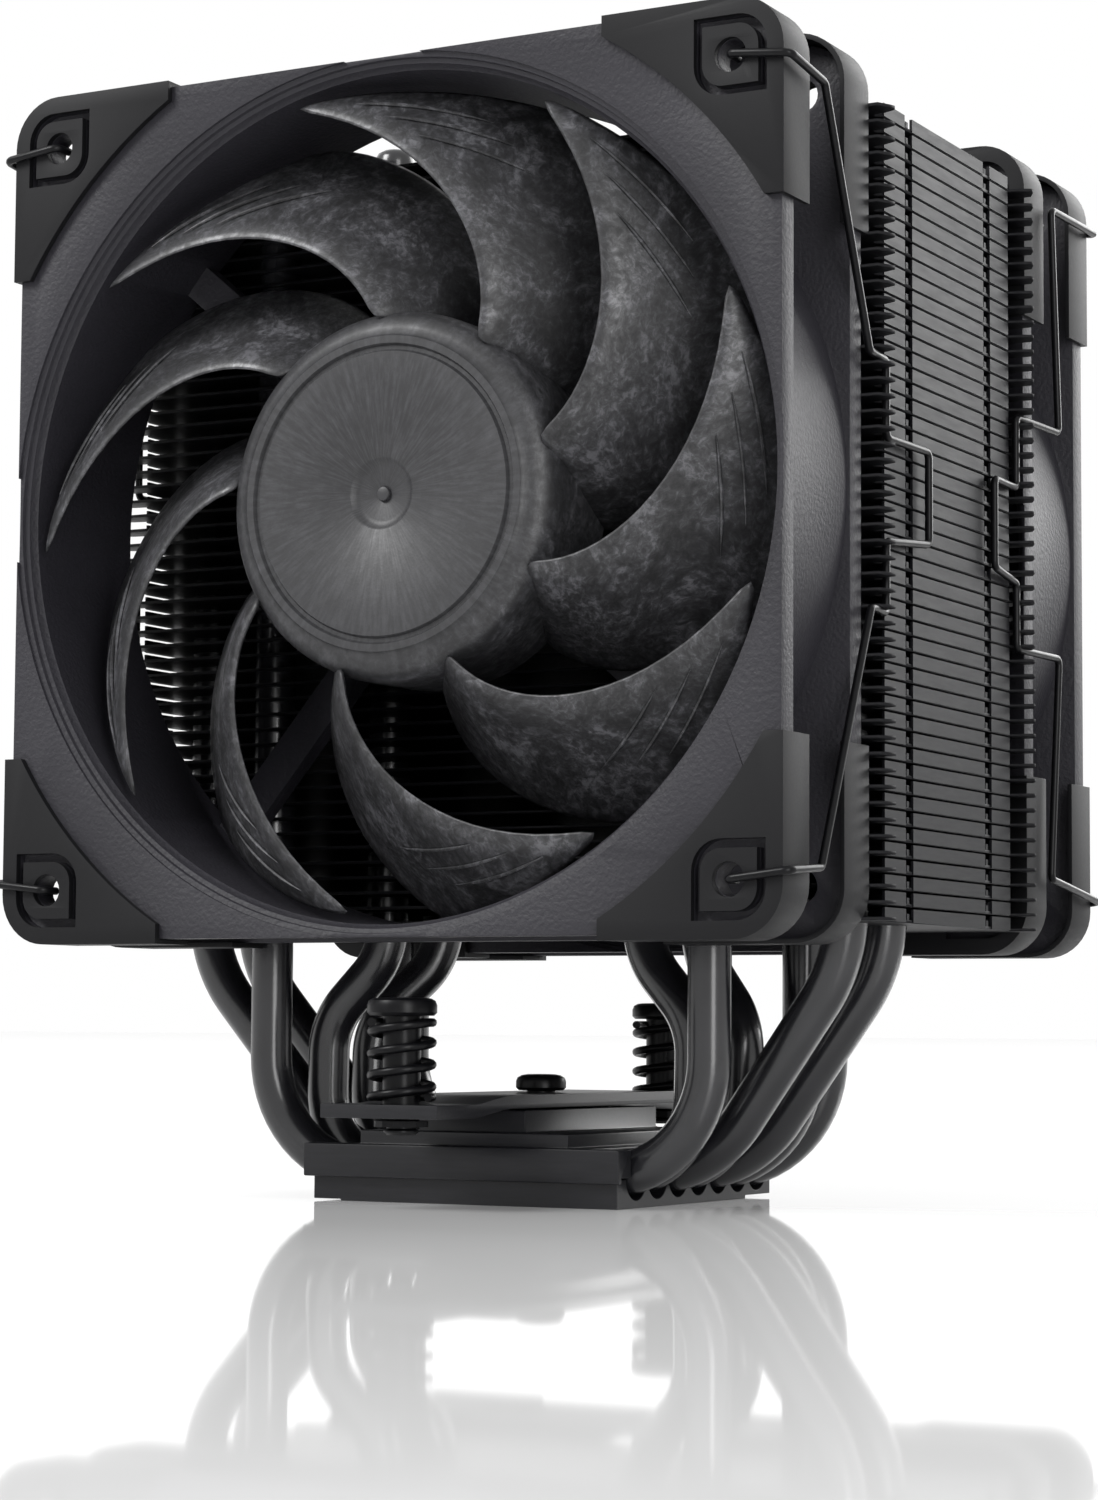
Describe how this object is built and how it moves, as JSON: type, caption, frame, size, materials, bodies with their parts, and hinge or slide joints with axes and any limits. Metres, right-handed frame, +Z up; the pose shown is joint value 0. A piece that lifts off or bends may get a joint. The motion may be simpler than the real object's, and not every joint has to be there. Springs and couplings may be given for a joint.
{
  "type": "cpu tower cooler",
  "caption": "Tower heat sink for a processor: bent heat pipes carry a plate-fin stack between two framed axial fans held by wire clips, on a base with a sprung mounting bar.",
  "frame": {"origin": "on the floor plane under the middle of the two fans, at the centre of the box's underside", "axes": "+Z up, towards the pipe tips; -Y is the front, the side air enters; +X is to the right seen from the front"},
  "size_m": [0.125, 0.1142, 0.1554],
  "materials": {
    "frame_plastic": "fine-grained moulded dark grey plastic",
    "pad_rubber": "matt black moulded silicone rubber",
    "impeller_plastic": "glass-filled dark grey plastic with a mottled satin grain",
    "fin_coating": "satin dark grey coating on thin aluminium sheet",
    "pipe_coating": "semi-gloss black coating on copper pipe",
    "base_coating": "satin black coating on machined metal",
    "bar_coating": "satin black coating on stamped steel",
    "screw_steel": "black plated steel, glossy",
    "clip_steel": "black coated spring wire",
    "shaft_steel": "ground steel",
    "bearing_brass": "turned brass",
    "stator_steel": "pressed and laminated steel",
    "board_green": "green lacquered circuit board"
  },
  "bodies": {
    "cooler": {"bar_bolt": "screw_steel", "base_block": "base_coating", "base_cover": "base_coating", "fin_stack": "fin_coating", "heat_pipe_1": "pipe_coating", "heat_pipe_2": "pipe_coating", "heat_pipe_3": "pipe_coating", "heat_pipe_4": "pipe_coating", "heat_pipe_5": "pipe_coating", "heat_pipe_6": "pipe_coating", "heat_pipe_7": "pipe_coating", "mounting_bar": "bar_coating", "spring_front": "screw_steel", "spring_rear": "screw_steel", "bearing_front": "bearing_brass", "fan_frame_front": "frame_plastic", "motor_board_front": "board_green", "pad_front_inlet_bottom_left": "pad_rubber", "pad_front_inlet_bottom_right": "pad_rubber", "pad_front_inlet_top_left": "pad_rubber", "pad_front_inlet_top_right": "pad_rubber", "pad_front_outlet_bottom_left": "pad_rubber", "pad_front_outlet_bottom_right": "pad_rubber", "pad_front_outlet_top_left": "pad_rubber", "pad_front_outlet_top_right": "pad_rubber", "stator_front": "stator_steel", "bearing_rear": "bearing_brass", "fan_frame_rear": "frame_plastic", "motor_board_rear": "board_green", "pad_rear_inlet_bottom_left": "pad_rubber", "pad_rear_inlet_bottom_right": "pad_rubber", "pad_rear_inlet_top_left": "pad_rubber", "pad_rear_inlet_top_right": "pad_rubber", "pad_rear_outlet_bottom_left": "pad_rubber", "pad_rear_outlet_bottom_right": "pad_rubber", "pad_rear_outlet_top_left": "pad_rubber", "pad_rear_outlet_top_right": "pad_rubber", "stator_rear": "stator_steel"},
    "rotor_front": {"impeller_front": "impeller_plastic", "rotor_cup_front": "stator_steel", "shaft_front": "shaft_steel"},
    "ring_front": {"retaining_ring_front": "clip_steel"},
    "screw_front": {"spring_screw_front": "screw_steel"},
    "clip_front_left": {"clip_front_left": "clip_steel"},
    "clip_front_right": {"clip_front_right": "clip_steel"},
    "rotor_rear": {"impeller_rear": "impeller_plastic", "rotor_cup_rear": "stator_steel", "shaft_rear": "shaft_steel"},
    "ring_rear": {"retaining_ring_rear": "clip_steel"},
    "screw_rear": {"spring_screw_rear": "screw_steel"},
    "clip_rear_left": {"clip_rear_left": "clip_steel"},
    "clip_rear_right": {"clip_rear_right": "clip_steel"}
  },
  "joints": [
    {"name": "impeller_front_spin", "type": "hinge", "parent": "cooler", "child": "rotor_front", "pos_m": [0, -0.0425, 0.0954], "axis": [0, 1, 0], "continuous": true},
    {"name": "spring_screw_front_press", "type": "slide", "parent": "cooler", "child": "ring_front", "axis": [0, 0, -1], "range_m": [0, 0.003], "stiffness_N_per_m": 3000, "springref_m": -0.002, "deforming": ["spring_front"]},
    {"name": "spring_screw_front_turn", "type": "hinge", "parent": "ring_front", "child": "screw_front", "pos_m": [0, -0.047, 0.02], "axis": [0, 0, 1], "continuous": true},
    {"name": "clip_front_left_swing", "type": "hinge", "parent": "cooler", "child": "clip_front_left", "pos_m": [-0.0525, -0.0566, 0.0954], "axis": [0, 0, 1], "range_deg": [0, 25], "stiffness_Nm_per_rad": 0.02},
    {"name": "clip_front_right_swing", "type": "hinge", "parent": "cooler", "child": "clip_front_right", "pos_m": [0.0525, -0.0566, 0.0954], "axis": [0, 0, -1], "range_deg": [0, 25], "stiffness_Nm_per_rad": 0.02},
    {"name": "impeller_rear_spin", "type": "hinge", "parent": "cooler", "child": "rotor_rear", "pos_m": [0, 0.0425, 0.0954], "axis": [0, 1, 0], "continuous": true},
    {"name": "spring_screw_rear_press", "type": "slide", "parent": "cooler", "child": "ring_rear", "axis": [0, 0, -1], "range_m": [0, 0.003], "stiffness_N_per_m": 3000, "springref_m": -0.002, "deforming": ["spring_rear"]},
    {"name": "spring_screw_rear_turn", "type": "hinge", "parent": "ring_rear", "child": "screw_rear", "pos_m": [0, 0.031, 0.02], "axis": [0, 0, 1], "continuous": true},
    {"name": "clip_rear_left_swing", "type": "hinge", "parent": "cooler", "child": "clip_rear_left", "pos_m": [-0.0525, 0.0566, 0.0954], "axis": [0, 0, -1], "range_deg": [0, 25], "stiffness_Nm_per_rad": 0.02},
    {"name": "clip_rear_right_swing", "type": "hinge", "parent": "cooler", "child": "clip_rear_right", "pos_m": [0.0525, 0.0566, 0.0954], "axis": [0, 0, 1], "range_deg": [0, 25], "stiffness_Nm_per_rad": 0.02}
  ]
}
